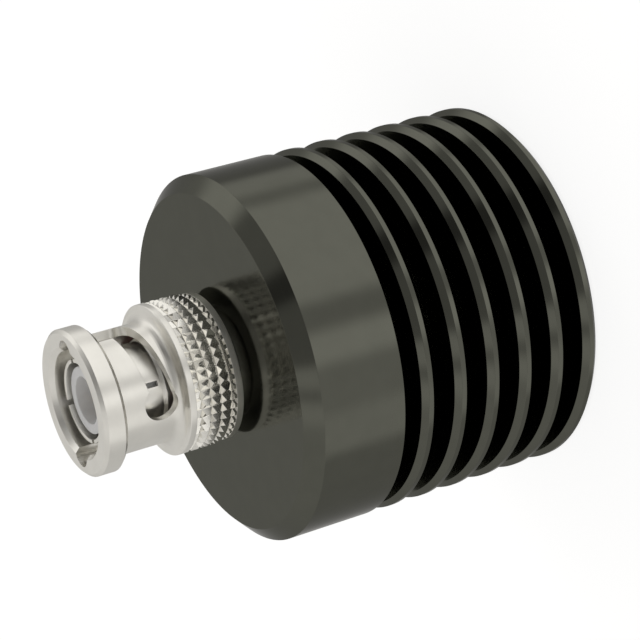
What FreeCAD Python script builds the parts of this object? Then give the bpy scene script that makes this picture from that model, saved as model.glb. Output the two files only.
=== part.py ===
"""RF dummy load: finned round heat sink with a bayonet coaxial plug, standing on its flat rear face."""
import FreeCAD
import Part
import math
import os

# All sizes are in millimetres. Z runs along the axis, from the rear face up to the plug.

# Heat sink
BODY_D = 35.56
SOLID_L = 9.75
NOSE_CHAMFER_R = 1.50
NOSE_CHAMFER_L = 1.40
FIN_COUNT = 6
FIN_T = 1.524
FIN_GAP = 2.032
FIN_CHAMFER = 0.53
CORE_D = 20.0
CHAMBER_D = 7.2

# Fits
SEAT = 0.02
RUN = 0.08
FACE_GAP = 0.05

# Connector body
THREAD_D = 8.0
THREAD_L = 6.5
COLLAR_D = 9.8
COLLAR_H = 1.03
NECK_D = 7.6
SPIGOT_D = 6.4
SPIGOT_L = 1.3
LINE_D = 4.8
RING_GROOVE_DEPTH = 0.45

# Coupling nut
NUT_L = 13.81
LIP_T = 1.1
BORE_D = 9.78
BORE_CHAMFER = 0.45
FLANGE_D = 13.96
FLANGE_T = 1.96
FLANGE_CHAMFER = 0.32
FLANGE_ROOT = 0.15
BARREL_D = 11.48
SHOULDER_D = 14.48
SHOULDER_L = 5.53
SHOULDER_ROOT = 0.93
SHOULDER_CHAMFER_R = 0.45
SHOULDER_CHAMFER_L = 0.40
KNURL_ROWS = 4
KNURL_PITCH = 1.03
KNURL_TEETH = 46
KNURL_DEPTH = 0.45
KNURL_TURN = 1.6
KNURL_REAR_LAND = 0.47

# Bayonet slots, measured back from the front of the nut
NOTCH_D = 2.50
CHANNEL_W = 2.70
CHANNEL_L = 5.00
RAMP_W = 2.36
RAMP_START = 5.23
RAMP_END = 6.58
RAMP_TURN = 86.0
DETENT_D = 3.22
DETENT_BACK = 6.23
DETENT_TURN = 92.2
SLOT_TURN = 77.0

# Spring stack behind the nut's lip
SLIP_T = 0.40
THRUST_T = 0.35
WASHER_GAP = 0.24
WAVE_H = 1.10
WAVE_T = 0.25
WAVE_COUNT = 3
RING_GAP = 0.34
RING_T = 0.60
RING_OPENING = 50.0
GASKET_T = 1.0

# Outer contact
CONTACT_D = 8.06
CONTACT_WALL = 0.39
CONTACT_BACK = 0.97
CONTACT_BASE_L = 1.50
CONTACT_STEP_R = 0.24
CONTACT_STEP_L = 0.30
CONTACT_SLOTS = 4
CONTACT_SLOT_W = 0.50
CONTACT_SLOT_L = 5.98
CONTACT_SLOT_TURN = 3.3

# Insulators and centre pin
INSULATOR_GAP = 0.42
INSULATOR_BACK = 1.31
RECESS_D = 4.50
RECESS_L = 5.2
TAIL_L = 4.0
BEAD_L = 3.0
PIN_D = 1.37
PIN_TIP_BACK = 1.5
PIN_TIP_L = 0.6
PIN_TIP_D = 0.5
PIN_SHANK_D = 1.72
PIN_BODY_D = 2.20
PIN_TAIL_D = 1.40

# Resistor
ROD_D = 2.4
ROD_L = 13.0
CAP_WALL = 0.22
CAP_L = 2.2
CAP_END = 0.4
STUD_L = 1.8
STUD_GAP = 0.7
SOCKET_WALL = 0.4
SOCKET_L = 4.85
SLIT_L = 1.9
SLIT_W = 0.3
PLUG_WEB = 1.4
TAPER_FRONT_D = 5.5
TAPER_REAR_D = 3.2

# Places along the axis
sink_l = SOLID_L + FIN_COUNT * (FIN_T + FIN_GAP)
collar_top = sink_l + COLLAR_H
nut_rear = collar_top + FACE_GAP
nut_front = nut_rear + NUT_L
lip_top = nut_rear + LIP_T
slip_z = lip_top + FACE_GAP
wave_z = slip_z + SLIP_T + FACE_GAP
thrust_z = wave_z + WAVE_H + FACE_GAP
ring_z = thrust_z + THRUST_T + SEAT
gasket_z = ring_z + RING_T + SEAT
contact_z = gasket_z + GASKET_T + SEAT
contact_front = nut_front - CONTACT_BACK
insulator_front = nut_front - INSULATOR_BACK
spigot_top = contact_z + SPIGOT_L
insulator_seat = spigot_top + SEAT
recess_floor = insulator_front - RECESS_L
tail_end = sink_l - THREAD_L
pin_tip = insulator_front - PIN_TIP_BACK
socket_z = tail_end - SEAT - SOCKET_L
front_cap_top = socket_z - SEAT
front_cap_z = front_cap_top - CAP_L
rod_top = front_cap_top - CAP_END
rod_z = rod_top - ROD_L
rear_cap_z = rod_z - CAP_END
plug_top = rear_cap_z + CAP_L
chamber_floor = rear_cap_z - PLUG_WEB

# Diameters that follow from the piece around them
washer_d = BORE_D - 2 * WASHER_GAP
ring_d = BORE_D - 2 * RING_GAP
insulator_d = CONTACT_D - 2 * CONTACT_WALL - 2 * INSULATOR_GAP

AXIS = FreeCAD.Vector(0, 0, 1)
ORIGIN = FreeCAD.Vector(0, 0, 0)


def at(r, z, turn=0.0):
    """The point at this radius and height, turned this many degrees about the axis."""
    a = math.radians(turn)
    return FreeCAD.Vector(r * math.cos(a), r * math.sin(a), z)


def turned(*outline):
    """A solid of revolution. Each entry is (r, z), or (r, z, r_mid, z_mid) for an arc through the middle point."""
    edges = []
    last = outline[0]
    for point in outline[1:] + (outline[0],):
        a = at(last[0], last[1])
        b = at(point[0], point[1])
        if len(point) == 4:
            edges.append(Part.Arc(a, at(point[2], point[3]), b).toShape())
        elif a.distanceToPoint(b) > 1e-6:
            edges.append(Part.LineSegment(a, b).toShape())
        last = point
    return Part.Face(Part.Wire(edges)).revolve(ORIGIN, AXIS, 360)


def ring(outer_d, inner_d, z0, z1):
    """A plain ring between two heights."""
    return turned((inner_d / 2, z0), (outer_d / 2, z0), (outer_d / 2, z1), (inner_d / 2, z1))


def rod(d, z0, z1):
    """A plain cylinder on the axis."""
    return Part.makeCylinder(d / 2, z1 - z0, at(0, z0), AXIS)


def radial_bore(d, z, turn, reach):
    """A cylinder that points straight out from the axis."""
    return Part.makeCylinder(d / 2, reach, at(0, z), at(1, 0, turn))


def heatsink():
    """One turned bar: solid nose, disc fins cut with chamfered edges, and a stepped blind bore from the front."""
    r = BODY_D / 2
    outline = [(0, 0)]
    for i in range(FIN_COUNT):
        z = i * (FIN_T + FIN_GAP)
        outline += [
            (r - FIN_CHAMFER, z),
            (r, z + FIN_CHAMFER),
            (r, z + FIN_T - FIN_CHAMFER),
            (r - FIN_CHAMFER, z + FIN_T),
            (CORE_D / 2, z + FIN_T),
            (CORE_D / 2, z + FIN_T + FIN_GAP),
        ]
    thread_r = THREAD_D / 2 + SEAT
    chamber_r = CHAMBER_D / 2
    outline += [
        (r, sink_l - SOLID_L),
        (r, sink_l - NOSE_CHAMFER_L),
        (r - NOSE_CHAMFER_R, sink_l),
        (thread_r, sink_l),
        (thread_r, tail_end),
        (chamber_r, tail_end),
        (chamber_r, chamber_floor),
        (0, chamber_floor),
    ]
    return turned(*outline)


def connector_body():
    """Turned body: threaded tail, collar on the heat sink's face, neck for the nut, groove and spigot."""
    groove_r = NECK_D / 2 - RING_GROOVE_DEPTH
    return turned(
        (LINE_D / 2, tail_end),
        (THREAD_D / 2, tail_end),
        (THREAD_D / 2, sink_l),
        (COLLAR_D / 2, sink_l),
        (COLLAR_D / 2, collar_top),
        (NECK_D / 2, collar_top),
        (NECK_D / 2, ring_z - SEAT),
        (groove_r, ring_z - SEAT),
        (groove_r, ring_z + RING_T + SEAT),
        (NECK_D / 2, ring_z + RING_T + SEAT),
        (NECK_D / 2, contact_z),
        (SPIGOT_D / 2, contact_z),
        (SPIGOT_D / 2, spigot_top),
        (LINE_D / 2, spigot_top),
    )


def knurled_band(z0, z1):
    """Square knurl of flat-sided points: V grooves round the band, cut across by V grooves along it."""
    r = SHOULDER_D / 2
    step = 360.0 / KNURL_TEETH
    valley_turns = [KNURL_TURN + (i + 0.5) * step for i in range(KNURL_TEETH)]
    peak_corner_r = r / math.cos(math.radians(step / 2))

    def section(corner_r, z):
        return Part.makePolygon([at(corner_r, z, turn) for turn in valley_turns + valley_turns[:1]])

    sections = [section(peak_corner_r, z0)]
    for i in range(KNURL_ROWS):
        valley = z0 + (i + 0.5) * KNURL_PITCH
        sections += [section(r - KNURL_DEPTH, valley), section(peak_corner_r, valley + KNURL_PITCH / 2)]
    rings = Part.makeLoft(sections, True, True)
    star = []
    for turn in valley_turns:
        star += [at(r, z0, turn - step / 2), at(r - KNURL_DEPTH, z0, turn)]
    grooves = Part.Face(Part.makePolygon(star + star[:1])).extrude(FreeCAD.Vector(0, 0, z1 - z0))
    return rings.common(grooves).cut(rod(BORE_D, z0, z1))


def bayonet_slot():
    """The cut for one slot: notch through the flange, channel, helical ramp and round detent hole."""
    reach = FLANGE_D
    flange_rear = nut_front - FLANGE_T
    ramp_top = nut_front - RAMP_START
    ramp_low = nut_front - RAMP_END
    barrel_r = BARREL_D / 2
    notch = Part.makeCylinder(NOTCH_D / 2, RAMP_START, at(BORE_D / 2, ramp_top), AXIS)
    corner = FreeCAD.Vector(0, -CHANNEL_W / 2, nut_front - CHANNEL_L)
    channel = Part.makeBox(reach, CHANNEL_W, CHANNEL_L - FLANGE_T, corner)
    channel = channel.common(rod(BARREL_D + 2 * FLANGE_ROOT, ramp_top, flange_rear))
    round_end = radial_bore(CHANNEL_W, nut_front - CHANNEL_L, 0, reach)
    rise = ramp_top - ramp_low
    helix = Part.makeHelix(rise * 360 / RAMP_TURN, rise, barrel_r)
    helix.rotate(ORIGIN, AXIS, -RAMP_TURN)
    helix.translate(FreeCAD.Vector(0, 0, ramp_low))
    lead = math.atan2(rise, math.radians(RAMP_TURN) * barrel_r)
    half = RAMP_W / 2
    depth = barrel_r - BORE_D / 2 + 1
    corners = [(-depth, -half), (depth, -half), (depth, half), (-depth, half)]
    profile = Part.makePolygon([FreeCAD.Vector(barrel_r + x, 0, y) for x, y in corners + corners[:1]])
    profile.rotate(at(barrel_r, 0), FreeCAD.Vector(1, 0, 0), math.degrees(lead))
    profile.rotate(ORIGIN, AXIS, -RAMP_TURN)
    profile.translate(FreeCAD.Vector(0, 0, ramp_low))
    ramp = Part.Wire(helix.Edges).makePipeShell([profile], True, True)
    detent = radial_bore(DETENT_D, nut_front - DETENT_BACK, -DETENT_TURN, reach)
    cut = notch.fuse([channel, round_end, ramp, detent])
    cut.rotate(ORIGIN, AXIS, SLOT_TURN)
    return cut


def coupling_nut():
    """Bayonet nut: inner lip at the rear, knurled shoulder, barrel, front flange, and two slots half a turn apart."""
    bore_r = BORE_D / 2
    shoulder_z = nut_rear + SHOULDER_L
    knurl_z = nut_rear + KNURL_REAR_LAND
    knurl_top = knurl_z + KNURL_ROWS * KNURL_PITCH
    flange_rear = nut_front - FLANGE_T
    barrel_r = BARREL_D / 2
    flange_r = FLANGE_D / 2
    shoulder_r = SHOULDER_D / 2
    land = ring(SHOULDER_D, BORE_D, nut_rear, knurl_z)
    lip = ring(BORE_D, NECK_D + 2 * RUN, nut_rear, lip_top)
    root = SHOULDER_ROOT * (1 - math.sqrt(0.5))
    front = turned(
        (bore_r, knurl_top),
        (shoulder_r, knurl_top),
        (shoulder_r, shoulder_z - SHOULDER_CHAMFER_L),
        (shoulder_r - SHOULDER_CHAMFER_R, shoulder_z),
        (barrel_r + SHOULDER_ROOT, shoulder_z),
        (barrel_r, shoulder_z + SHOULDER_ROOT, barrel_r + root, shoulder_z + root),
        (barrel_r, flange_rear - FLANGE_ROOT),
        (barrel_r + FLANGE_ROOT, flange_rear),
        (flange_r, flange_rear),
        (flange_r, nut_front - FLANGE_CHAMFER),
        (flange_r - FLANGE_CHAMFER, nut_front),
        (bore_r + BORE_CHAMFER, nut_front),
        (bore_r, nut_front - BORE_CHAMFER),
    )
    slot = bayonet_slot()
    other = slot.copy()
    other.rotate(ORIGIN, AXIS, 180)
    front = front.cut([slot, other])
    return land.fuse([lip, knurled_band(knurl_z, knurl_top), front]).removeSplitter()


def outer_contact():
    """Spring sleeve, seam mid-finger: slots from the front, a short conical step, a thicker base on the spigot."""
    r = CONTACT_D / 2
    inner = r - CONTACT_WALL
    base_r = r + CONTACT_STEP_R
    step_z = contact_z + CONTACT_BASE_L
    sleeve = turned(
        (SPIGOT_D / 2 + SEAT, contact_z),
        (base_r, contact_z),
        (base_r, step_z),
        (r, step_z + CONTACT_STEP_L),
        (r, contact_front),
        (inner, contact_front),
        (inner, spigot_top),
        (SPIGOT_D / 2 + SEAT, spigot_top),
    )
    sleeve.rotate(ORIGIN, AXIS, CONTACT_SLOT_TURN + 180.0 / CONTACT_SLOTS)
    cuts = []
    for i in range(CONTACT_SLOTS // 2):
        corner = FreeCAD.Vector(-CONTACT_D, -CONTACT_SLOT_W / 2, contact_front - CONTACT_SLOT_L)
        cut = Part.makeBox(2 * CONTACT_D, CONTACT_SLOT_W, CONTACT_SLOT_L + 1, corner)
        cut.rotate(ORIGIN, AXIS, CONTACT_SLOT_TURN + i * 360.0 / CONTACT_SLOTS)
        cuts.append(cut)
    return sleeve.cut(cuts)


def front_insulator():
    """Dielectric with the recess at the front and a tail in the connector body's bore."""
    r = insulator_d / 2
    tail_r = LINE_D / 2 - SEAT
    tail_z = insulator_seat - TAIL_L
    return turned(
        (PIN_SHANK_D / 2 + SEAT, tail_z),
        (tail_r, tail_z),
        (tail_r, insulator_seat),
        (r, insulator_seat),
        (r, insulator_front),
        (RECESS_D / 2, insulator_front),
        (RECESS_D / 2, recess_floor),
        (PIN_SHANK_D / 2 + SEAT, recess_floor),
    )


def rear_insulator():
    """Bead that centres the tail of the pin."""
    return ring(LINE_D - 2 * SEAT, PIN_TAIL_D + 2 * SEAT, tail_end, tail_end + BEAD_L)


def centre_pin():
    """Turned pin: tapered tip, shank in the front insulator, thicker stretch between the insulators, tail."""
    r = PIN_D / 2
    shank_r = PIN_SHANK_D / 2
    body_r = PIN_BODY_D / 2
    tail_r = PIN_TAIL_D / 2
    body_low = tail_end + BEAD_L + SEAT
    body_top = insulator_seat - TAIL_L - SEAT
    tail_low = front_cap_top + STUD_L + STUD_GAP
    return turned(
        (0, tail_low),
        (tail_r, tail_low),
        (tail_r, body_low),
        (body_r, body_low),
        (body_r, body_top),
        (shank_r, body_top),
        (shank_r, recess_floor),
        (r, recess_floor),
        (r, pin_tip - PIN_TIP_L),
        (PIN_TIP_D / 2, pin_tip),
        (0, pin_tip),
    )


def wave_washer():
    """Thin ring bent into waves, so that its height is many times its thickness."""
    outer_r = washer_d / 2
    inner_r = NECK_D / 2 + RUN
    swing = (WAVE_H - WAVE_T) / 2
    steps = WAVE_COUNT * 8
    middle = wave_z + WAVE_H / 2

    def edge(r, side):
        points = []
        for i in range(steps):
            turn = i * 360.0 / steps
            wave = swing * math.cos(math.radians(turn * WAVE_COUNT))
            points.append(at(r, middle + wave + side * WAVE_T / 2, turn))
        curve = Part.BSplineCurve()
        curve.interpolate(points, True)
        return curve.toShape()

    low_in, low_out = edge(inner_r, -1), edge(outer_r, -1)
    top_in, top_out = edge(inner_r, 1), edge(outer_r, 1)
    pairs = [(low_in, low_out), (low_out, top_out), (top_out, top_in), (top_in, low_in)]
    faces = []
    for a, b in pairs:
        faces += Part.makeRuledSurface(a, b).Faces
    shell = Part.makeShell(faces)
    shell.sewShape()
    solid = Part.Solid(shell)
    if solid.Volume < 0:
        solid.reverse()
    return solid


def retaining_ring():
    """Open ring that snaps into the groove of the neck."""
    inner_r = NECK_D / 2 - RING_GROOVE_DEPTH + SEAT
    corners = [(inner_r, ring_z), (ring_d / 2, ring_z), (ring_d / 2, ring_z + RING_T), (inner_r, ring_z + RING_T)]
    section = Part.Face(Part.makePolygon([at(r, z, RING_OPENING / 2) for r, z in corners + corners[:1]]))
    return section.revolve(ORIGIN, AXIS, 360 - RING_OPENING)


def film_resistor():
    """Ceramic rod that carries the resistive film."""
    return rod(ROD_D, rod_z, rod_top)


def rear_cap():
    """Cup over the earthed end of the rod."""
    cup = rod(ROD_D + 2 * CAP_WALL, rear_cap_z, rear_cap_z + CAP_L)
    return cup.cut(rod(ROD_D + 2 * SEAT, rod_z, rear_cap_z + CAP_L))


def front_cap():
    """Cup over the live end of the rod, with a stud for the socket."""
    cup = rod(ROD_D + 2 * CAP_WALL, front_cap_z, front_cap_top)
    cup = cup.fuse(rod(PIN_TAIL_D, front_cap_top, front_cap_top + STUD_L)).removeSplitter()
    return cup.cut(rod(ROD_D + 2 * SEAT, front_cap_z, rod_top))


def pin_socket():
    """Sleeve that joins the stud to the tail of the pin, slit from both ends."""
    z1 = socket_z + SOCKET_L
    inner_d = PIN_TAIL_D + 2 * SEAT
    outer_d = inner_d + 2 * SOCKET_WALL
    sleeve = ring(outer_d, inner_d, socket_z, z1)
    cuts = []
    for turn, low in ((0, socket_z - 1), (90, z1 - SLIT_L)):
        corner = FreeCAD.Vector(-outer_d, -SLIT_W / 2, low)
        cut = Part.makeBox(2 * outer_d, SLIT_W, SLIT_L + 1, corner)
        cut.rotate(ORIGIN, AXIS, turn)
        cuts.append(cut)
    return sleeve.cut(cuts)


def end_plug():
    """Plug in the bottom of the chamber, bored for the earthed cap."""
    plug = rod(CHAMBER_D - 2 * SEAT, chamber_floor, plug_top)
    return plug.cut(rod(ROD_D + 2 * CAP_WALL + 2 * SEAT, rear_cap_z, plug_top))


def taper_sleeve():
    """Outer conductor of the resistor: its bore narrows towards the earthed end."""
    outer_r = CHAMBER_D / 2 - SEAT
    top = tail_end - SEAT
    return turned(
        (TAPER_REAR_D / 2, plug_top),
        (outer_r, plug_top),
        (outer_r, top),
        (TAPER_FRONT_D / 2, top),
    )


def pieces():
    """Every piece of the load, by name."""
    return {
        "heatsink": heatsink(),
        "connector_body": connector_body(),
        "coupling_nut": coupling_nut(),
        "outer_contact": outer_contact(),
        "front_insulator": front_insulator(),
        "rear_insulator": rear_insulator(),
        "centre_pin": centre_pin(),
        "slip_washer": ring(washer_d, NECK_D + 2 * RUN, slip_z, slip_z + SLIP_T),
        "wave_washer": wave_washer(),
        "thrust_washer": ring(washer_d, NECK_D + 2 * SEAT, thrust_z, thrust_z + THRUST_T),
        "retaining_ring": retaining_ring(),
        "gasket": ring(washer_d, NECK_D + 2 * SEAT, gasket_z, gasket_z + GASKET_T),
        "pin_socket": pin_socket(),
        "front_cap": front_cap(),
        "film_resistor": film_resistor(),
        "rear_cap": rear_cap(),
        "taper_sleeve": taper_sleeve(),
        "end_plug": end_plug(),
    }


os.makedirs("parts", exist_ok=True)
for name, shape in pieces().items():
    shape.exportStep(os.path.join("parts", name + ".step"))
    print(name, "solids", len(shape.Solids), "faces", len(shape.Faces), "volume %.3f" % shape.Volume, shape.isValid())
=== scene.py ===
"""Finned dummy load with a bayonet coaxial plug: the pieces that show, their finishes, and the studio."""

import math

import bmesh
import bpy
import numpy as np
from bpy.props import FloatProperty, FloatVectorProperty, IntProperty, PointerProperty
from mathutils import Matrix, Vector
from mathutils.bvhtree import BVHTree
from mathutils.interpolate import poly_3d_calc


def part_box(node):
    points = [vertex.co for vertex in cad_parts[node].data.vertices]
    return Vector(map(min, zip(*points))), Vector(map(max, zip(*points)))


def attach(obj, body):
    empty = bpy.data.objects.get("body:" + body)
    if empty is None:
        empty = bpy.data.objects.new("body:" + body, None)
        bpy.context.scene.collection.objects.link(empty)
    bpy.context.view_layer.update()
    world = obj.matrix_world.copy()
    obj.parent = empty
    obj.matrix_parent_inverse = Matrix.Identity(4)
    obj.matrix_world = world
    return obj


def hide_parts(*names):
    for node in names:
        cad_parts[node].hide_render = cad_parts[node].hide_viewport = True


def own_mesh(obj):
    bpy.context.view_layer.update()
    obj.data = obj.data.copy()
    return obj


bl_info = {
    "name": "Dummy Load",
    "version": (1, 0, 0),
    "blender": (4, 5, 0),
    "location": "View3D > Sidebar > Dummy Load",
    "description": "Builds the visible pieces of a finned dummy load round its packed solids",
    "category": "Object",
}

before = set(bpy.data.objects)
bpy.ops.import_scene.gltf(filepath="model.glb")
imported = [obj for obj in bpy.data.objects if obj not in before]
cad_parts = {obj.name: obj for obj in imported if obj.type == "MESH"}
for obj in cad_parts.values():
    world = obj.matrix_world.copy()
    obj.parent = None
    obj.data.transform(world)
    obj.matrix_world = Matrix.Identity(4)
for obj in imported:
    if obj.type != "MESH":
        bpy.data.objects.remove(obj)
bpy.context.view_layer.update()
MM = 0.001
SMOOTH_WITHIN = 0.94
CUT_REACH = 0.03
BRIGHTEST = 1.2
SOFT_EDGE = 4


def low(node):
    """Height of the node's lower end, in millimetres."""
    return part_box(node)[0].z / MM


def top(node):
    """Height of the node's upper end, in millimetres."""
    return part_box(node)[1].z / MM


def across(node):
    """Diameter of the node, in millimetres."""
    return (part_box(node)[1].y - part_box(node)[0].y) / MM


def size(name, millimetres, description):
    return FloatProperty(name=name, description=description, default=millimetres * MM, unit="LENGTH", precision=6)


def number(name, value, description):
    return FloatProperty(name=name, description=description, default=value)


def colour(name, value, description):
    return FloatVectorProperty(name=name, description=description, default=value, subtype="COLOR", size=3, min=0, max=1)


def count(name, value, description):
    return IntProperty(name=name, description=description, default=value, min=1)


def angle(name, degrees, description):
    return FloatProperty(name=name, description=description, default=math.radians(degrees), subtype="ANGLE")


class SinkSettings(bpy.types.PropertyGroup):
    diameter: size("Diameter", 35.56, "Outside diameter of the sink and its fins")
    solid_length: size("Solid length", 9.75, "Length of the solid nose")
    nose_chamfer_width: size("Nose chamfer width", 1.50, "Radial width of the chamfer at the nose")
    nose_chamfer_length: size("Nose chamfer length", 1.40, "Axial length of the chamfer at the nose")
    fins: count("Fins", 6, "Number of disc fins behind the nose")
    fin_thickness: size("Fin thickness", 1.524, "Thickness of one fin")
    fin_gap: size("Fin gap", 2.032, "Width of the groove in front of each fin")
    fin_chamfer: size("Fin chamfer", 0.53, "Chamfer on both edges of a fin")
    core: size("Core diameter", 20.0, "Diameter at the bottom of the grooves")
    thread: size("Threaded bore", 8.04, "Diameter of the bore that takes the connector")
    chamber: size("Chamber bore", 7.2, "Diameter of the bore that holds the resistor")
    edge: size("Broken edge", 0.05, "Radius of the deburred edges")
    facets: count("Facets", 256, "Facets round the sink")
    black: colour("Anodise", (0.123, 0.1255, 0.106), "What the black anodised surface reflects head on")
    gloss: number("Roughness", 0.13, "Roughness of the anodised surface")


class NutSettings(bpy.types.PropertyGroup):
    bore: size("Bore", 9.78, "Diameter of the bore")
    bore_chamfer: size("Bore chamfer", 0.45, "Chamfer at the mouth of the bore")
    neck_bore: size("Lip bore", 7.76, "Diameter of the inner lip, which turns on the connector's neck")
    lip: size("Lip", 1.1, "Thickness of the inner lip")
    flange: size("Flange diameter", 13.96, "Diameter of the front flange")
    flange_length: size("Flange length", 1.96, "Length of the front flange")
    flange_chamfer: size("Flange chamfer", 0.32, "Chamfer at the front of the flange")
    flange_back: size("Flange back", 0.36, "Chamfer at the back of the flange")
    barrel: size("Barrel diameter", 11.48, "Diameter of the barrel between flange and knurl")
    shoulder: size("Shoulder diameter", 14.48, "Diameter over the knurl")
    shoulder_length: size("Shoulder length", 5.53, "Length of the knurled shoulder")
    shoulder_root: size("Shoulder root", 0.93, "Radius of the hollow between shoulder and barrel")
    shoulder_edge_width: size("Shoulder edge width", 0.45, "Radial width of the shoulder's front edge")
    shoulder_edge_length: size("Shoulder edge length", 0.10, "Axial length of the shoulder's front edge")
    front_land: size("Front land", 0.73, "Plain band in front of the knurl")
    rear_land: size("Rear land", 14.14, "Diameter of the plain band behind the knurl")
    skirt: size("Skirt", 0.09, "How far the rear land reaches past the inner lip")
    knurl_rows: count("Knurl rows", 4, "Rows of points along the band")
    knurl_teeth: count("Knurl teeth", 46, "Points round the band")
    knurl_pitch: size("Knurl pitch", 1.03, "Distance between rows")
    knurl_depth: size("Knurl depth", 0.45, "Depth of the knurl's grooves")
    knurl_steep: size("Knurl steep side", 0.25, "Width of the side of a groove that faces forward")
    knurl_slant: size("Knurl slanted side", 0.45, "Width of the side of a groove that faces back")
    knurl_start: size("Knurl start", 4.55, "Distance from the shoulder's face to the last groove")
    knurl_run_out: size("Knurl run-out", 0.40, "How far the grooves along the band run past the last one round it")
    knurl_turn: angle("Knurl turn", 1.6, "Where the first point stands")
    slot_turn: angle("Slot turn", 77.0, "Where the first bayonet slot opens")
    notch: size("Notch", 2.50, "Diameter of the notch through the flange")
    channel_width: size("Channel width", 2.70, "Width of the straight channel")
    channel_length: size("Channel length", 5.00, "Distance from the front to the end of the channel")
    ramp_width: size("Ramp width", 2.36, "Width of the helical ramp")
    ramp_start: size("Ramp start", 5.23, "Distance from the front to the start of the ramp")
    ramp_end: size("Ramp end", 6.53, "Distance from the front to the end of the ramp")
    ramp_turn: angle("Ramp turn", 86.0, "Angle that the ramp covers")
    detent: size("Detent", 3.22, "Diameter of the round hole at the end of the ramp")
    detent_back: size("Detent place", 6.23, "Distance from the front to the detent")
    detent_turn: angle("Detent turn", 92.2, "Angle from the channel to the detent")
    edge: size("Broken edge", 0.045, "Radius of the turned edges")
    burr: size("Slot edge", 0.035, "Radius of the edges of the slots")
    ridge: size("Knurl ridge", 0.014, "Width of the flats on the knurl's ridges")
    facets: count("Facets", 216, "Facets round the nut")
    nickel: colour("Nickel", (0.92, 0.905, 0.86), "Colour of the nickel plate")
    gloss: number("Roughness", 0.3, "Roughness of the nickel plate")
    knurl_gloss: number("Knurl roughness", 0.14, "Roughness of the knurl's facets")


class CoreSettings(bpy.types.PropertyGroup):
    spigot: size("Contact seat", 6.44, "Inside diameter of the outer contact's base")
    spigot_length: size("Spigot length", 1.3, "Length of the spigot that holds the outer contact")
    collar_length: size("Collar length", 1.03, "Length of the collar on the heat sink")
    contact_wall: size("Contact wall", 0.39, "Wall of the outer contact")
    contact_diameter: size("Contact diameter", 8.06, "Diameter of the outer contact")
    contact_base: size("Contact base", 1.50, "Length of the outer contact's thicker base")
    contact_step: size("Contact step", 0.24, "Height of the conical step at the base")
    contact_step_length: size("Contact step length", 0.30, "Length of the conical step")
    slot_width: size("Slot width", 0.50, "Width of the outer contact's slots")
    slot_length: size("Slot length", 5.98, "Length of the outer contact's slots")
    slot_turn: angle("Slot turn", 3.3, "Where the first of the outer contact's slots stands")
    insulator: size("Insulator diameter", 6.44, "Diameter of the front insulator")
    recess: size("Recess diameter", 4.50, "Diameter of the insulator's recess")
    recess_length: size("Recess length", 5.2, "Depth of the insulator's recess")
    edge: size("Broken edge", 0.06, "Radius of the edges")
    facets: count("Facets", 160, "Facets round these pieces")
    dielectric: colour("Dielectric", (0.88, 0.885, 0.90), "Colour of the insulator")
    gold: colour("Gold", (0.87, 0.62, 0.28), "Colour of the gold plate")


class StageSettings(bpy.types.PropertyGroup):
    floor_size: size("Floor", 2400.0, "Width of the floor")
    floor_glow: number("Floor glow", 0.84, "Share of the white floor that no shadow darkens")
    floor_tone: number("Floor tone", 0.36, "Colour of the floor that takes the shadow")
    studio: number("Studio strength", 1.0, "Strength of the studio round the load")


# Outlines and meshes, in millimetres


def rounded(corners, radius, closed=True, steps=3):
    """An anticlockwise outline of (r, z) corners, each rounded, or with a radius of its own as third number.
    Returns its points, and the normals with which the outline reaches and leaves each of them."""
    corners = [tuple(c) + (radius,) if len(c) == 2 else tuple(c) for c in corners]
    places = np.array([c[:2] for c in corners], float)
    last = len(corners) - 1
    points, reach_normals, leave_normals = [], [], []

    def add(point, reaching, leaving):
        points.append(point)
        reach_normals.append((reaching[1], -reaching[0]))
        leave_normals.append((leaving[1], -leaving[0]))

    for i, corner in enumerate(places):
        back = corner - places[i - 1]
        ahead = places[(i + 1) % len(places)] - corner
        back_length, ahead_length = np.linalg.norm(back), np.linalg.norm(ahead)
        back, ahead = back / back_length, ahead / ahead_length
        if not closed and i in (0, last):
            way = ahead if i == 0 else back
            add(corner, way, way)
            continue
        turn = math.atan2(back[0] * ahead[1] - back[1] * ahead[0], back @ ahead)
        if corners[i][2] == 0 or abs(turn) < 1e-3:
            add(corner, back, ahead)
            continue
        slope = abs(math.tan(turn / 2))
        reach = min(corners[i][2] * slope, 0.45 * back_length, 0.45 * ahead_length)
        side = math.copysign(reach / slope, turn)
        centre = corner - back * reach - side * np.array((back[1], -back[0]))
        start = math.atan2(back[1], back[0])
        for k in range(steps + 1):
            a = start + turn * k / steps
            way = np.array((math.cos(a), math.sin(a)))
            add(centre + side * np.array((way[1], -way[0])), way, way)
    return np.array(points), np.array(reach_normals), np.array(leave_normals), closed


def hollow(r0, z0, r1, z1, bulge_r, bulge_z, steps=8):
    """Corners of a hollow between two points, round the given centre."""
    a0 = math.atan2(z0 - bulge_z, r0 - bulge_r)
    a1 = math.atan2(z1 - bulge_z, r1 - bulge_r)
    if abs(a1 - a0) > math.pi:
        a1 -= math.copysign(2 * math.pi, a1 - a0)
    radius = math.hypot(r0 - bulge_r, z0 - bulge_z)
    turns = [a0 + (a1 - a0) * k / steps for k in range(steps + 1)]
    return [(bulge_r + radius * math.cos(a), bulge_z + radius * math.sin(a), 0.2) for a in turns]


def mesh_of(name, points, faces):
    mesh = bpy.data.meshes.new(name)
    mesh.from_pydata([tuple(float(x) * MM for x in p) for p in points], [], faces)
    mesh.update()
    return mesh


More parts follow.
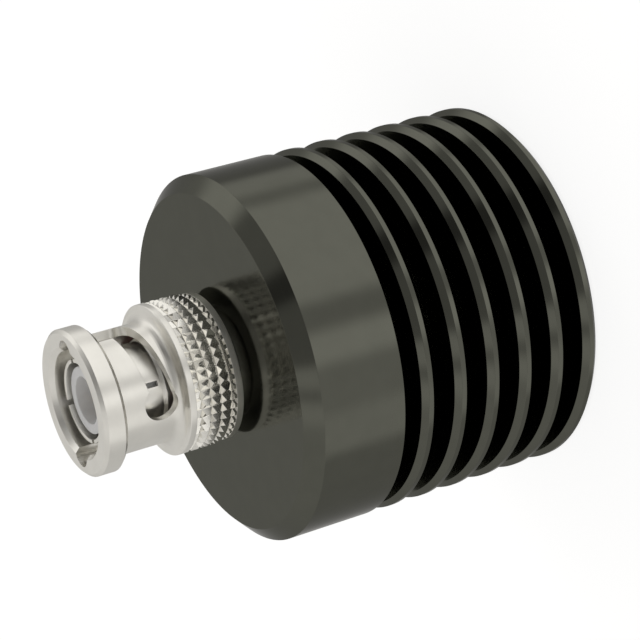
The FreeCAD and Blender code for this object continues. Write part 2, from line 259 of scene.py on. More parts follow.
def turn_outline(name, outline, facets):
    """The outline turned round the axis into a closed mesh."""
    places, closed = outline[0], outline[3]
    turns = np.arange(facets) * (2 * math.pi / facets)
    points, rings = [], []
    for r, z in places:
        if r < 1e-6:
            rings.append([len(points)] * facets)
            points.append((0, 0, z))
        else:
            rings.append(list(range(len(points), len(points) + facets)))
            points += list(zip(r * np.cos(turns), r * np.sin(turns), [z] * facets))
    faces = []
    pairs = list(zip(rings, rings[1:] + rings[:1]))
    for a, b in pairs if closed else pairs[:-1]:
        for s in range(facets):
            t = (s + 1) % facets
            corners = [a[s], a[t], b[t], b[s]]
            faces.append([v for k, v in enumerate(corners) if v != corners[k - 1]])
    return mesh_of(name, points, faces)


def loft(name, sections):
    """A closed mesh through sections of the same number of points."""
    width = len(sections[0])
    points = [p for section in sections for p in section]
    faces = [list(range(width))[::-1], list(range(len(points) - width, len(points)))]
    for k in range(len(sections) - 1):
        for i in range(width):
            j = (i + 1) % width
            faces.append([k * width + i, k * width + j, (k + 1) * width + j, (k + 1) * width + i])
    return mesh_of(name, points, faces)


def cut_faces(cutters):
    """Gives a function that finds a cutter's face by a place on it and the way it looks: its corners and normals."""
    corners, faces, smooth = [], [], []
    for mesh in cutters:
        around = [[] for v in mesh.vertices]
        for p in mesh.polygons:
            for v in p.vertices:
                around[v].append(p.normal)
        for p in mesh.polygons:
            faces.append([len(corners) + v for v in p.vertices])
            near = [[n for n in around[v] if n.dot(p.normal) > SMOOTH_WITHIN] for v in p.vertices]
            smooth.append([sum(normals, Vector()).normalized() for normals in near])
        corners += [v.co.copy() for v in mesh.vertices]
    tree = BVHTree.FromPolygons(corners, faces)

    def at(middle, facing):
        hits = tree.find_nearest_range(middle, CUT_REACH * MM)
        if not hits:
            return [middle / MM] * 3, [facing] * 3
        _, normal, index, _ = max(hits, key=lambda hit: abs(hit[1].dot(facing)))
        side = math.copysign(1, normal.dot(facing))
        return [corners[v] / MM for v in faces[index]], [n * side for n in smooth[index]]

    return at


def shade(mesh, outline, cutters=()):
    """Gives turned faces the outline's own normals, and cut faces, which have material index 1, the cutters'."""
    places, reach_normals, leave_normals, closed = outline
    ahead = np.roll(places, -1, axis=0)
    ends = np.roll(reach_normals, -1, axis=0)
    keep = slice(None) if closed else slice(0, -1)
    starts, ahead, first, second = places[keep], ahead[keep], leave_normals[keep], ends[keep]
    steps = ahead - starts
    lengths = np.maximum((steps ** 2).sum(1), 1e-12)

    def nearest(rz):
        best, where = np.full(len(rz), 1e9), np.zeros(len(rz), int)
        for k in range(len(starts)):
            t = np.clip(((rz - starts[k]) @ steps[k]) / lengths[k], 0, 1)
            d = ((rz - starts[k] - t[:, None] * steps[k]) ** 2).sum(1)
            closer = d < best
            best[closer], where[closer] = d[closer], k
        return where

    spots = np.array([v.co for v in mesh.vertices], float) / MM
    middles = np.array([p.center for p in mesh.polygons], float) / MM
    kinds = np.array([p.material_index for p in mesh.polygons])
    side = nearest(np.column_stack((np.hypot(middles[:, 0], middles[:, 1]), middles[:, 2])))
    cut_face = cut_faces(cutters)
    normals = np.zeros((len(mesh.loops), 3))
    for p in mesh.polygons:
        if kinds[p.index] == 1:
            corners, facing = cut_face(p.center, p.normal)
            for loop, v in zip(p.loop_indices, p.vertices):
                shares = poly_3d_calc(corners, mesh.vertices[v].co / MM)
                normals[loop] = sum((way * share for way, share in zip(facing, shares)), Vector()).normalized()
            continue
        for loop, v in zip(p.loop_indices, p.vertices):
            x, y, z = spots[v]
            k = side[p.index]
            r = math.hypot(x, y)
            t = min(max(((r - starts[k][0]) * steps[k][0] + (z - starts[k][1]) * steps[k][1]) / lengths[k], 0), 1)
            nr, nz = first[k] * (1 - t) + second[k] * t
            if r < 1e-6:
                x, y, r = middles[p.index][0], middles[p.index][1], math.hypot(*middles[p.index][:2])
            normals[loop] = (nr * x / r, nr * y / r, nz)
    mesh.polygons.foreach_set("use_smooth", [True] * len(mesh.polygons))
    mesh.normals_split_custom_set([tuple(n) for n in normals])
    return mesh


def piece(name, mesh, finishes, body, slot, *nodes):
    """Adds a piece that rides on the body and stands for the nodes."""
    obj = bpy.data.objects.new(name, mesh)
    bpy.context.scene.collection.objects.link(obj)
    for finish in finishes:
        mesh.materials.append(finish)
    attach(obj, body)
    if nodes:
        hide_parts(*nodes)
    return obj


def cut_away(name, mesh, cutters, finishes):
    """The mesh less the cutters. Faces that the cut makes have material index 1."""
    block = bpy.data.objects.new(name, mesh)
    tool_mesh = bpy.data.meshes.new(name + "_cut")
    joined = bmesh.new()
    for cutter in cutters:
        joined.from_mesh(cutter)
    for face in joined.faces:
        face.material_index = 1
    bmesh.ops.recalc_face_normals(joined, faces=joined.faces)
    joined.to_mesh(tool_mesh)
    joined.free()
    tool = bpy.data.objects.new(name + "_tool", tool_mesh)
    for holder in (mesh, tool_mesh):
        for finish in finishes:
            holder.materials.append(finish)
    for obj in (block, tool):
        bpy.context.scene.collection.objects.link(obj)
    cut = block.modifiers.new("cut", "BOOLEAN")
    cut.operation = "DIFFERENCE"
    cut.solver = "EXACT"
    cut.use_self = True
    cut.object = tool
    bpy.context.view_layer.update()
    made = bpy.data.meshes.new_from_object(block.evaluated_get(bpy.context.evaluated_depsgraph_get()))
    for obj in (block, tool):
        bpy.data.objects.remove(obj)
    if not any(p.material_index == 1 for p in made.polygons):
        raise RuntimeError(name + ": the cut took nothing away")
    made.name = name
    kinds = [p.material_index for p in made.polygons]
    made.materials.clear()
    made.polygons.foreach_set("material_index", kinds)
    return made


# Finishes


class Wire:
    """An output of a node. Arithmetic on it adds Math nodes."""

    def __init__(self, tree, socket):
        self.tree = tree
        self.socket = socket

    def __getitem__(self, name):
        return Wire(self.tree, self.socket.node.outputs[name])

    def node(self, kind, settings=None, inputs=None):
        """A new node of this type. Settings are set first, and then the sockets get their values or links."""
        made = self.tree.nodes.new(kind)
        for key, value in (settings or {}).items():
            if key == "stops":
                ramp = made.color_ramp
                while len(ramp.elements) < len(value):
                    ramp.elements.new(1.0)
                for element, (position, tone) in zip(ramp.elements, value):
                    element.position = position
                    element.color = tone
            else:
                setattr(made, key, value)
        for key, value in (inputs or {}).items():
            if isinstance(value, Wire):
                self.tree.links.new(value.socket, made.inputs[key])
            else:
                made.inputs[key].default_value = value
        return Wire(self.tree, made.outputs[0]) if made.outputs else made

    def maths(self, operation, *values):
        return self.node("ShaderNodeMath", {"operation": operation}, dict(enumerate(values)))

    def __add__(self, other):
        return self.maths("ADD", self, other)

    __radd__ = __add__

    def __sub__(self, other):
        return self.maths("SUBTRACT", self, other)

    def __rsub__(self, other):
        return self.maths("SUBTRACT", other, self)

    def __mul__(self, other):
        return self.maths("MULTIPLY", self, other)

    __rmul__ = __mul__

    def __truediv__(self, other):
        return self.maths("DIVIDE", self, other)

    def __rtruediv__(self, other):
        return self.maths("DIVIDE", other, self)

    def __pow__(self, other):
        return self.maths("POWER", self, other)

    def fit(self, low_in, high_in, low_out, high_out):
        """This value, mapped smoothly from one range to another and held at its ends."""
        ends = {1: low_in, 2: high_in, 3: low_out, 4: high_out}
        return self.node("ShaderNodeMapRange", {"interpolation_type": "SMOOTHSTEP"}, {0: self, **ends})

    def blend(self, one, two):
        """One colour where this value is 0 and the other where it is 1."""
        mixed = self.node("ShaderNodeMix", {"data_type": "RGBA"}, {0: self, 6: one, 7: two})
        return Wire(self.tree, mixed.socket.node.outputs[2])


def rgba(tone, level=1.0):
    return tuple(min(1.0, c * level) for c in tone) + (1.0,)


def finish(name, shader, slot_colour):
    """A new material. Its shader gets a wire that reads the place on the load, in millimetres."""
    material = bpy.data.materials.new(name)
    material.use_nodes = True
    material.diffuse_color = rgba(slot_colour)
    tree = material.node_tree
    tree.nodes.clear()
    output = tree.nodes.new("ShaderNodeOutputMaterial")
    start = Wire(tree, tree.nodes.new("ShaderNodeTexCoord").outputs["Object"])
    place = start.node("ShaderNodeVectorMath", {"operation": "SCALE"}, {0: start, 3: 1 / MM})
    surface = shader(place)
    tree.links.new(surface.socket, output.inputs["Surface"])
    return material


def turning(place, pitch):
    """Fine rings left by the tool, from the radius and height alone, between 0 and 1."""
    axes = place.node("ShaderNodeSeparateXYZ", inputs={0: place})
    radius = (axes["X"] * axes["X"] + axes["Y"] * axes["Y"]) ** 0.5
    where = place.node("ShaderNodeCombineXYZ", inputs={0: radius / pitch, 1: axes["Z"] / pitch})
    return place.node("ShaderNodeTexNoise", {"noise_dimensions": "2D"}, {"Vector": where, "Scale": 1.0, "Detail": 2.0})


def cloud(place, scale, detail=3.0):
    return place.node("ShaderNodeTexNoise", {}, {"Vector": place, "Scale": scale, "Detail": detail})


def surface(place, inputs, height=None, distance=0.0, edge=0.0):
    """The shader of one finish: its inputs, a relief in metres, and the radius to which its edges look broken."""
    normal = None
    if edge:
        normal = place.node("ShaderNodeBevel", {"samples": 6}, {"Radius": edge})
    if height:
        bump = {"Height": height, "Distance": distance, "Strength": 1.0}
        if normal:
            bump["Normal"] = normal
        normal = place.node("ShaderNodeBump", {}, bump)
    if normal:
        inputs = {**inputs, "Normal": normal}
    return place.node("ShaderNodeBsdfPrincipled", {}, inputs)


def black_anodise(settings):
    def shader(place):
        tone = cloud(place, 0.6).fit(0.3, 0.7, 0, 1)
        rings = turning(place, 0.16)
        return surface(place, {
            "Base Color": tone.blend(rgba(settings.black, 0.98), rgba(settings.black, 1.02)),
            "Metallic": 1.0,
            "Roughness": settings.gloss + (rings - 0.5) * 0.05,
            "Specular Tint": rgba((0.62, 0.62, 0.62)),
        }, rings, 0.0000006)
    return finish("black_anodise", shader, settings.black)


def nickel(settings, name, pitch, edge, gloss=None):
    roughness = gloss or settings.gloss

    def shader(place):
        tone = cloud(place, 0.5).fit(0.3, 0.7, 0, 1)
        rings = turning(place, pitch) if pitch else cloud(place, 9.0)
        return surface(place, {
            "Base Color": tone.blend(rgba(settings.nickel, 0.97), rgba(settings.nickel, 1.02)),
            "Metallic": 1.0,
            "Roughness": roughness + (rings - 0.5) * 0.08,
        }, rings, 0.0000005, edge)
    return finish(name, shader, settings.nickel)


def dielectric(settings):
    def shader(place):
        rings = turning(place, 0.12)
        tone = cloud(place, 0.8).fit(0.3, 0.7, 0, 1)
        return surface(place, {
            "Base Color": tone.blend(rgba(settings.dielectric, 0.97), rgba(settings.dielectric, 1.02)),
            "Roughness": 0.42 + (rings - 0.5) * 0.1,
            "Subsurface Weight": 0.15,
            "Subsurface Radius": (0.6, 0.6, 0.6),
            "Subsurface Scale": 0.0006,
        }, rings, 0.000001)
    return finish("white_dielectric", shader, settings.dielectric)


def plain_metal(name, tone, roughness, pitch):
    def shader(place):
        rings = turning(place, pitch)
        patch = cloud(place, 0.7).fit(0.3, 0.7, 0, 1)
        return surface(place, {
            "Base Color": patch.blend(rgba(tone, 0.94), rgba(tone, 1.03)),
            "Metallic": 1.0,
            "Roughness": roughness + (rings - 0.5) * 0.1,
        }, rings, 0.000001)
    return finish(name, shader, tone)


def matt(name, dark, light, roughness, grain):
    def shader(place):
        specks = cloud(place, grain, 4.0)
        return surface(place, {
            "Base Color": specks.fit(0.35, 0.65, 0, 1).blend(rgba(dark), rgba(light)),
            "Roughness": roughness + (specks - 0.5) * 0.15,
        }, specks, 0.000004)
    return finish(name, shader, dark)


def wear(node, material):
    """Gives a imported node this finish."""
    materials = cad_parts[node].data.materials
    materials.clear()
    materials.append(material)


# The heat sink


class DUMMYLOAD_OT_heatsink(bpy.types.Operator):
    """Turn the finned heat sink and give it its black finish"""
    bl_idname = "dummyload.heatsink"
    bl_label = "Heat Sink"

    def execute(self, context):
        s = context.scene.dummyload_sink
        end = top("heatsink")
        r = s.diameter / MM / 2
        c = s.fin_chamfer / MM
        thickness = s.fin_thickness / MM
        pitch = thickness + s.fin_gap / MM
        core = s.core / MM / 2
        outline = [(0, 0)]
        for i in range(s.fins):
            z = i * pitch
            outline += [(r - c, z), (r, z + c), (r, z + thickness - c), (r - c, z + thickness)]
            outline += [(core, z + thickness, 0.15), (core, z + pitch, 0.15)]
        outline += [
            (r, end - s.solid_length / MM),
            (r, end - s.nose_chamfer_length / MM),
            (r - s.nose_chamfer_width / MM, end),
            (s.thread / MM / 2, end),
            (s.thread / MM / 2, low("connector_body")),
            (s.chamber / MM / 2, low("connector_body")),
            (s.chamber / MM / 2, low("end_plug")),
            (0, low("end_plug")),
        ]
        shape = rounded(outline, s.edge / MM, closed=False)
        mesh = shade(turn_outline("sink_body", shape, s.facets), shape)
        piece("sink_body", mesh, [black_anodise(s)], "load", "black_anodise", "heatsink")
        return {"FINISHED"}


# The coupling nut


def knurl_band(s, z0, z1, first, inner):
    """The knurled ring: V grooves round it and along it leave flat-sided points, with ridges marked for a bevel."""
    pitch, depth = s.knurl_pitch / MM, s.knurl_depth / MM
    steep, slant = s.knurl_steep / MM, s.knurl_slant / MM
    r, land = s.shoulder / MM / 2, s.rear_land / MM / 2
    valleys = [first + row * pitch for row in range(s.knurl_rows)]
    land_end = first - steep * (land - r + depth) / depth
    flat = (r - land) / depth / 2
    band = bmesh.new()

    def ring(radius, share, z):
        """One vertex per tooth, this share of a tooth away from its middle."""
        turns = [s.knurl_turn + (i + share) * 2 * math.pi / s.knurl_teeth for i in range(s.knurl_teeth)]
        return [band.verts.new((radius * math.cos(a) * MM, radius * math.sin(a) * MM, z * MM)) for a in turns]

    lows = [ring(r - depth, 0.5, z) for z in [z0] + valleys + [z1]]
    starts = [ring(r, 0, z + slant) for z in valleys]
    stops = [ring(r, 0, z - steep) for z in valleys[1:]] + [ring(r, 0, z1)]
    rear_left, left = ring(land, -flat, z0), ring(land, -flat, land_end)
    rear_right, right = ring(land, flat, z0), ring(land, flat, land_end)
    inner_low, inner_top = ring(inner, 0.5, z0), ring(inner, 0.5, z1)
    for i in range(s.knurl_teeth):
        b = i - 1
        faces = [
            (lows[1][b], lows[1][i], right[i], left[i]),
            (left[i], right[i], rear_right[i], rear_left[i]),
            (right[i], lows[1][i], lows[0][i], rear_right[i]),
            (lows[1][b], left[i], rear_left[i], lows[0][b]),
            (lows[0][b], rear_left[i], rear_right[i], lows[0][i], inner_low[i], inner_low[b]),
            (lows[-1][b], stops[-1][i], lows[-1][i], inner_top[i], inner_top[b]),
            (inner_low[b], inner_low[i], inner_top[i], inner_top[b]),
        ]
        for row in range(s.knurl_rows):
            here, ahead = lows[row + 1], lows[row + 2]
            faces += [
                (starts[row][i], here[b], here[i]),
                (starts[row][i], stops[row][i], ahead[i], here[i]),
                (starts[row][i], here[b], ahead[b], stops[row][i]),
            ]
            if row + 1 < s.knurl_rows:
                faces.append((stops[row][i], ahead[b], ahead[i]))
        for face in faces:
            band.faces.new(face)
    bmesh.ops.recalc_face_normals(band, faces=band.faces)
    weight = band.edges.layers.float.new("bevel_weight_edge")
    ridge = {v for row in starts + stops[:-1] for v in row}
    for edge in band.edges:
        if any(v in ridge for v in edge.verts):
            edge[weight] = 1.0
    mesh = bpy.data.meshes.new("nut_knurl")
    band.to_mesh(mesh)
    band.free()
    return mesh


UP = np.array((0, 0, 1))
ROUND_POINTS = 72


def ways(turn):
    """The ways out from the axis and along the circle at this turn."""
    return np.array((math.cos(turn), math.sin(turn), 0)), np.array((-math.sin(turn), math.cos(turn), 0))


def radial_circle(diameter, turn, z, reach):
    """A round bar that points straight out from the axis, as a cutter."""
    out, along = ways(turn)
    sections = []
    for distance in (2.0, reach):
        ring = []
        for k in range(ROUND_POINTS):
            a = 2 * math.pi * k / ROUND_POINTS
            centre = out * distance + UP * z
            ring.append(centre + diameter / 2 * (math.cos(a) * along + math.sin(a) * UP))
        sections.append(ring)
    return loft("round_cut", sections)


def slot_cutters(s, front, turn):
    """What one bayonet slot takes away: notch, channel, its round end, the helical ramp and the detent."""
    reach = s.flange / MM
    barrel = s.barrel / MM / 2
    bore = s.bore / MM / 2
    ramp_top = front - s.ramp_start / MM
    ramp_low = front - s.ramp_end / MM
    out, along = ways(turn)
    notch = []
    for z in (ramp_top, front + 1):
        ring = [2 * math.pi * k / ROUND_POINTS for k in range(ROUND_POINTS)]
        half = s.notch / MM / 2
        notch.append([out * (bore + half * math.cos(a)) + along * half * math.sin(a) + UP * z for a in ring])
    half = s.channel_width / MM / 2
    lip = front - (s.flange_length + s.flange_back) / MM + 0.004
    corners = ((2, -half), (barrel + 0.3, -half), (barrel + 0.3, half), (2, half))
    channel = [[out * x + along * y + UP * z for x, y in corners] for z in (front - s.channel_length / MM, lip)]
    lead = math.atan2(ramp_top - ramp_low, s.ramp_turn * barrel)
    half = s.ramp_width / MM / 2
    corners = ((bore - 1, -half), (barrel + 0.85, -half), (barrel + 0.85, half), (bore - 1, half))
    ramp = []
    steps = 48
    for k in range(steps + 1):
        a = turn - s.ramp_turn * k / steps
        z = ramp_top + (ramp_low - ramp_top) * k / steps
        outward, along = ways(a)
        sideways = along * -math.sin(lead) + UP * math.cos(lead)
        ramp.append([outward * x + sideways * y + UP * z for x, y in corners])
    return [
        loft("notch_cut", notch),
        loft("channel_cut", channel),
        radial_circle(s.channel_width / MM, turn, front - s.channel_length / MM, reach),
        loft("ramp_cut", ramp),
        radial_circle(s.detent / MM, turn - s.detent_turn, front - s.detent_back / MM, reach),
    ]


class DUMMYLOAD_OT_coupling_nut(bpy.types.Operator):
    """Make the knurled coupling nut with its two bayonet slots"""
    bl_idname = "dummyload.coupling_nut"
    bl_label = "Coupling Nut"

    def execute(self, context):
        s = context.scene.dummyload_nut
        rear, front = low("coupling_nut"), top("coupling_nut")
        bore = s.bore / MM / 2
        barrel = s.barrel / MM / 2
        flange = s.flange / MM / 2
        shoulder = s.shoulder / MM / 2
        land = s.rear_land / MM / 2
        core = shoulder - s.knurl_depth / MM - 0.15
        face = rear + s.shoulder_length / MM
        first = face - s.knurl_start / MM
        knurl_low = first - s.knurl_run_out / MM
        knurl_top = face - s.front_land / MM
        root = s.shoulder_root / MM
        flange_rear = front - s.flange_length / MM
        back = s.flange_back / MM
        skirt = rear - s.skirt / MM
        lip_top = rear + s.lip / MM
        turned = nickel(s, "nickel_turned", 0.11, s.burr)
        milled = nickel(s, "nickel_milled", 0, s.burr)
        cut_points = nickel(s, "nickel_knurl", 0, 0, s.knurl_gloss)

        behind = rounded([
            (s.neck_bore / MM / 2, rear), (5.3, rear), (5.4, skirt), (land, skirt), (land, knurl_low, 0),
            (core, knurl_low, 0), (core, knurl_top, 0), (bore, knurl_top, 0), (bore, lip_top, 0.1),
            (s.neck_bore / MM / 2, lip_top),
        ], s.edge / MM)
        mesh = shade(turn_outline("nut_rear", behind, s.facets), behind)
        piece("nut_rear", mesh, [turned], "nut", "nickel_plate", "coupling_nut")

        ahead = rounded(
            [(bore, knurl_top, 0), (shoulder, knurl_top, 0.02)]
            + [(shoulder, face - s.shoulder_edge_length / MM, 0.12)]
            + [(shoulder - s.shoulder_edge_width / MM, face, 0.03)]
            + hollow(barrel + root, face, barrel, face + root, barrel + root, face + root)
            + [(barrel, flange_rear - back, 0.08), (flange - back, flange_rear - back, 0.04)]
            + [(flange, flange_rear, 0.05), (flange, front - s.flange_chamfer / MM, 0.08)]
            + [(flange - s.flange_chamfer / MM, front, 0.07), (bore + s.bore_chamfer / MM, front, 0.06)]
            + [(bore, front - s.bore_chamfer / MM, 0.06)], s.edge / MM)
        plain = turn_outline("nut_front", ahead, s.facets)
        cutters = slot_cutters(s, front, s.slot_turn) + slot_cutters(s, front, s.slot_turn + math.pi)
        cut = shade(cut_away("nut_front", plain, cutters, [turned, milled]), ahead, cutters)
        piece("nut_front", cut, [turned, milled], "nut", "nickel_plate", "coupling_nut")

        band = knurl_band(s, knurl_low, knurl_top, first, core - 0.01)
        knurl = piece("nut_knurl", band, [cut_points], "nut", "nickel_plate", "coupling_nut")
        bevel = knurl.modifiers.new("ridges", "BEVEL")
        bevel.limit_method = "WEIGHT"
        bevel.width = s.ridge
        bevel.segments = 2
        bevel.use_clamp_overlap = True
        return {"FINISHED"}


# The plug's middle: connector body, outer contact, insulator and pin


class DUMMYLOAD_OT_plug_core(bpy.types.Operator):
    """Make the outer contact, insulator, centre pin and connector body"""
    bl_idname = "dummyload.plug_core"
    bl_label = "Plug Core"

    def execute(self, context):
        s = context.scene.dummyload_core
        nut = context.scene.dummyload_nut
        turned = nickel(nut, "contact_nickel", 0.09, nut.burr)
        milled = nickel(nut, "contact_slots", 0, nut.burr)
        white = dielectric(s)
        gold = plain_metal("gold_plate", s.gold, 0.22, 0.08)

        rear, front = low("outer_contact"), top("outer_contact")
        spigot_top = rear + s.spigot_length / MM
        r = s.contact_diameter / MM / 2
        inner = r - s.contact_wall / MM
        step = rear + s.contact_base / MM
        sleeve = rounded([
            (s.spigot / MM / 2, rear), (r + s.contact_step / MM, rear), (r + s.contact_step / MM, step),
            (r, step + s.contact_step_length / MM), (r, front, 0.1), (inner, front, 0.08),
            (inner, spigot_top), (s.spigot / MM / 2, spigot_top),
        ], s.edge / MM / 2)
        plain = turn_outline("contact_sleeve", sleeve, s.facets)
        cutters = []
        for quarter in (0, 1):
            a = s.slot_turn + quarter * math.pi / 2
            out, along = ways(a)
            half = s.slot_width / MM / 2
            corners = ((-9, -half), (9, -half), (9, half), (-9, half))
            heights = (front - s.slot_length / MM, front + 1)
            slit = [[out * x + along * y + UP * z for x, y in corners] for z in heights]
            cutters.append(loft("slit_cut", slit))
        cut = shade(cut_away("contact_sleeve", plain, cutters, [turned, milled]), sleeve, cutters)
        piece("contact_sleeve", cut, [turned, milled], "load", "nickel_plate", "outer_contact")

        front, rear = top("front_insulator"), low("front_insulator")
        seat = spigot_top + 0.02
        floor = front - s.recess_length / MM
        bushing = rounded([
            (0.88, rear), (2.38, rear), (2.38, seat), (s.insulator / MM / 2, seat), (s.insulator / MM / 2, front, 0.12),
            (s.recess / MM / 2, front, 0.10), (s.recess / MM / 2, floor, 0.15), (0.88, floor),
        ], s.edge / MM)
        mesh = shade(turn_outline("insulator", bushing, s.facets), bushing)
        piece("insulator", mesh, [white], "load", "white_dielectric", "front_insulator")

        rear, front = low("centre_pin"), top("centre_pin")
        body_low, body_top = top("rear_insulator") + 0.02, low("front_insulator") - 0.02
        needle = rounded([
            (0, rear), (0.70, rear), (0.70, body_low), (1.10, body_low), (1.10, body_top), (0.86, body_top),
            (0.86, floor), (0.685, floor), (0.685, front - 0.6, 0.3), (0.25, front, 0.18), (0, front),
        ], s.edge / MM, closed=False)
        mesh = shade(turn_outline("contact_pin", needle, 96), needle)
        piece("contact_pin", mesh, [gold], "load", "gold_plate", "centre_pin")

        face = top("heatsink")
        collar_top = face + s.collar_length / MM
        groove_low, groove_top = low("retaining_ring") - 0.02, top("retaining_ring") + 0.02
        neck_top = low("outer_contact")
        tail = low("connector_body")
        body = rounded([
            (2.40, tail), (4.00, tail), (4.00, face), (4.90, face), (4.90, collar_top, 0.1), (3.80, collar_top, 0.1),
            (3.80, groove_low), (3.35, groove_low), (3.35, groove_top), (3.80, groove_top), (3.80, neck_top),
            (3.20, neck_top), (3.20, top("connector_body")), (2.40, top("connector_body")),
        ], s.edge / MM)
        mesh = shade(turn_outline("plug_body", body, s.facets), body)
        piece("plug_body", mesh, [turned], "load", "nickel_plate", "connector_body")
        return {"FINISHED"}


# The wave spring and the pieces that stay as they are packed


class DUMMYLOAD_OT_inner_parts(bpy.types.Operator):
    """Make the wave spring and finish the pieces inside the load"""
    bl_idname = "dummyload.inner_parts"
    bl_label = "Inner Parts"

    def execute(self, context):
        s = context.scene.dummyload_core
        steel = plain_metal("spring_steel", (0.56, 0.56, 0.55), 0.26, 0.09)
        gold = plain_metal("socket_gold", s.gold, 0.24, 0.08)
        brass = plain_metal("bare_brass", (0.76, 0.58, 0.30), 0.32, 0.14)
        cap = plain_metal("cap_nickel", (0.74, 0.72, 0.69), 0.25, 0.10)
        rubber = matt("gasket_rubber", (0.26, 0.05, 0.035), (0.32, 0.07, 0.05), 0.62, 14.0)
        film = matt("resistor_film", (0.09, 0.10, 0.11), (0.12, 0.13, 0.14), 0.35, 20.0)
        for node, material in (
            ("slip_washer", steel), ("thrust_washer", steel), ("retaining_ring", steel), ("gasket", rubber),
            ("pin_socket", gold), ("front_cap", cap), ("rear_cap", cap), ("film_resistor", film),
            ("taper_sleeve", brass), ("end_plug", brass), ("rear_insulator", dielectric(s)),
        ):
            wear(node, material)
        outer = across("thrust_washer") / 2
        inner = 3.88
        bottom, ceiling = low("wave_washer"), top("wave_washer")
        thick, round_edge = 0.25, 0.06
        half = thick / 2
        section = rounded([(inner, -half), (outer, -half), (outer, half), (inner, half)], round_edge)
        swing = (ceiling - bottom - thick) / 2
        mesh = turn_outline("wave_spring", section, 144)
        for v in mesh.vertices:
            v.co.z += ((bottom + ceiling) / 2 + swing * math.cos(3 * math.atan2(v.co.y, v.co.x))) * MM
        mesh.polygons.foreach_set("use_smooth", [True] * len(mesh.polygons))
        spring = piece("wave_spring", mesh, [steel], "load", "spring_steel", "wave_washer")
        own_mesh(spring)
        return {"FINISHED"}


# The stage


# Screens below and above the horizon: from azimuth, to azimuth, in degrees, and brightness. They are rounded
# from what the photograph's metal mirrors.
LOW_SCREENS = (
    (-180, -70, 0.5), (-70, -42, 0.8), (-42, -12, 0.65), (-12, 8, 1.0), (8, 26, 0.55), (26, 100, 0.95),
    (100, 112, 0.6), (112, 132, 0.9), (132, 180, 0.4),
)
HIGH_SCREENS = (
    (-180, -70, 0.6), (-70, -54, 0.8), (-54, -44, 0.4), (-44, -24, 0.75), (-24, 46, 0.3), (46, 72, 0.1),
    (72, 114, 0.35), (114, 140, 1.0), (140, 180, 0.6),
)


def ring_stops(screens):
    """Ramp stops round the horizon for these screens, with soft edges between them."""
    stops = []
    for start, end, level in screens:
        for azimuth in (start + SOFT_EDGE, end - SOFT_EDGE):
            stops.append(((azimuth + 180) / 360, (level / BRIGHTEST,) * 3 + (1.0,)))
    return stops


def studio_world(s):
    """The studio round the load: white to the camera, and bright screens with dark gaps for everything else."""
    world = bpy.data.worlds.new("studio")
    bpy.context.scene.world = world
    world.use_nodes = True
    tree = world.node_tree
    tree.nodes.clear()
    output = tree.nodes.new("ShaderNodeOutputWorld")
    way = Wire(tree, tree.nodes.new("ShaderNodeTexCoord").outputs["Generated"])
    axes = way.node("ShaderNodeSeparateXYZ", inputs={0: way})
    azimuth = axes["Y"].maths("ARCTAN2", axes["Y"], axes["X"]) / (2 * math.pi) + 0.5
    rings = []
    for screens in (LOW_SCREENS, HIGH_SCREENS):
        ramp = way.node("ShaderNodeValToRGB", {"stops": ring_stops(screens)}, {0: azimuth})
        rings.append(ramp)
    height = axes["Z"].fit(-0.25, 0.45, 0, 1)
    level = height.blend(*rings)
    warm = way.node("ShaderNodeMix", {"data_type": "RGBA", "blend_type": "MULTIPLY"},
                    {0: 1.0, 6: level, 7: (1.0, 0.985, 0.95, 1.0)})
    glow = way.node("ShaderNodeBackground", {}, {0: Wire(tree, warm.socket.node.outputs[2]), 1: BRIGHTEST * s.studio})
    white = way.node("ShaderNodeBackground", {}, {0: (1, 1, 1, 1), 1: 1.0})
    camera_ray = Wire(tree, tree.nodes.new("ShaderNodeLightPath").outputs["Is Camera Ray"])
    seen = way.node("ShaderNodeMixShader", {}, {0: camera_ray, 1: glow, 2: white})
    tree.links.new(seen.socket, output.inputs["Surface"])


def pale_floor(s):
    """The floor: white with the load's shadow on it."""
    half = s.floor_size / 2
    mesh = bpy.data.meshes.new("floor")
    mesh.from_pydata([(-half, -half, 0), (half, -half, 0), (half, half, 0), (-half, half, 0)], [], [(0, 1, 2, 3)])
    floor = bpy.data.objects.new("floor", mesh)
    bpy.context.scene.collection.objects.link(floor)

    def shader(place):
        tone = cloud(place, 0.01).fit(0.3, 0.7, s.floor_tone * 0.995, s.floor_tone)
        grey = place.node("ShaderNodeCombineColor", {}, {0: tone, 1: tone, 2: tone})
        lit = place.node("ShaderNodeBsdfDiffuse", {}, {"Color": grey})
        glow = place.node("ShaderNodeEmission", {}, {"Color": (1, 1, 1, 1), "Strength": s.floor_glow})
        both = place.node("ShaderNodeAddShader", {}, {0: lit, 1: glow})
        pale = place.node("ShaderNodeBsdfDiffuse", {}, {"Color": (0.8, 0.8, 0.8, 1)})
        clear = place.node("ShaderNodeBsdfTransparent", {}, {"Color": (1, 1, 1, 1)})
        path = Wire(place.tree, place.tree.nodes.new("ShaderNodeLightPath").outputs["Is Camera Ray"])
        seen = place.node("ShaderNodeMixShader", {}, {0: path["Is Camera Ray"], 1: pale, 2: both})
        mirrored = path["Is Glossy Ray"]
        return place.node("ShaderNodeMixShader", {}, {0: mirrored, 1: seen, 2: clear})

    mesh.materials.append(finish("pale_floor", shader, (0.9, 0.9, 0.9)))


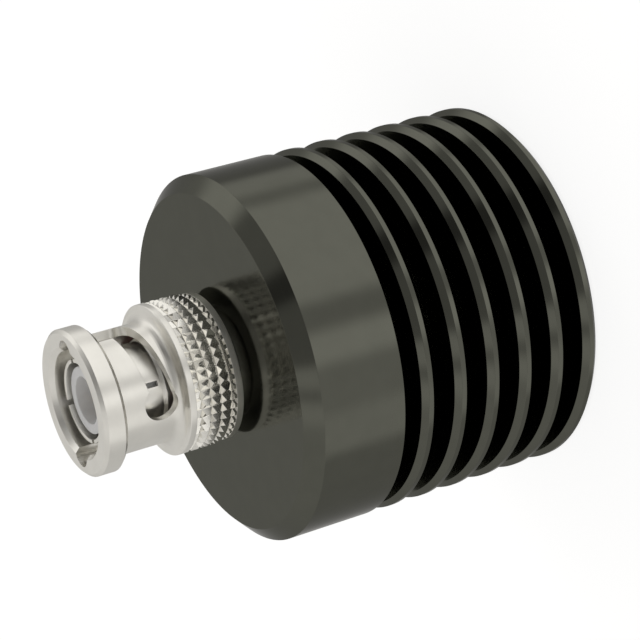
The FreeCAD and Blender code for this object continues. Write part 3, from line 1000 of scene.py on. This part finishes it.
class DUMMYLOAD_OT_stage(bpy.types.Operator):
    """Set up the floor, the studio and the camera"""
    bl_idname = "dummyload.stage"
    bl_label = "Stage"

    def execute(self, context):
        s = context.scene.dummyload_stage
        scene = context.scene
        scene.view_settings.view_transform = "Standard"
        studio_world(s)
        pale_floor(s)
        camera_data = bpy.data.cameras.new("camera")
        camera_data.sensor_width = 36
        camera_data.lens = 136.6367
        half_pixel = 0.5 / 640
        camera_data.shift_x = -half_pixel
        camera_data.shift_y = half_pixel
        camera_data.clip_start = 0.001
        camera_data.clip_end = 20
        camera = bpy.data.objects.new("camera", camera_data)
        scene.collection.objects.link(camera)
        right = Vector((0.45125663, -0.22205915, -0.8643247))
        up = Vector((0, 0.96854583, -0.24883525))
        back = right.cross(up)
        turn = Matrix((right, up, back)).transposed()
        camera.matrix_world = Matrix.Translation((0.20781862, 0.02725687, 0.12135837)) @ turn.to_4x4()
        scene.camera = camera
        return {"FINISHED"}


class DUMMYLOAD_PT_panel(bpy.types.Panel):
    """Buttons that build the load"""
    bl_idname = "DUMMYLOAD_PT_panel"
    bl_label = "Dummy Load"
    bl_space_type = "VIEW_3D"
    bl_region_type = "UI"
    bl_category = "Dummy Load"

    def draw(self, context):
        groups = (
            (DUMMYLOAD_OT_heatsink, context.scene.dummyload_sink),
            (DUMMYLOAD_OT_coupling_nut, context.scene.dummyload_nut),
            (DUMMYLOAD_OT_plug_core, context.scene.dummyload_core),
            (DUMMYLOAD_OT_inner_parts, None),
            (DUMMYLOAD_OT_stage, context.scene.dummyload_stage),
        )
        for operator, settings in groups:
            box = self.layout.box()
            box.operator(operator.bl_idname)
            for name in getattr(settings, "__annotations__", {}):
                box.prop(settings, name)


CLASSES = (
    SinkSettings, NutSettings, CoreSettings, StageSettings,
    DUMMYLOAD_OT_heatsink, DUMMYLOAD_OT_coupling_nut, DUMMYLOAD_OT_plug_core, DUMMYLOAD_OT_inner_parts,
    DUMMYLOAD_OT_stage, DUMMYLOAD_PT_panel,
)
SETTINGS = {
    "dummyload_sink": SinkSettings,
    "dummyload_nut": NutSettings,
    "dummyload_core": CoreSettings,
    "dummyload_stage": StageSettings,
}


def register():
    for cls in CLASSES:
        bpy.utils.register_class(cls)
    for name, group in SETTINGS.items():
        setattr(bpy.types.Scene, name, PointerProperty(type=group))


def unregister():
    for name in SETTINGS:
        delattr(bpy.types.Scene, name)
    for cls in reversed(CLASSES):
        bpy.utils.unregister_class(cls)


def main():
    register()
    bpy.ops.dummyload.heatsink()
    bpy.ops.dummyload.coupling_nut()
    bpy.ops.dummyload.plug_core()
    bpy.ops.dummyload.inner_parts()
    bpy.ops.dummyload.stage()


if __name__ == "__main__":
    main()
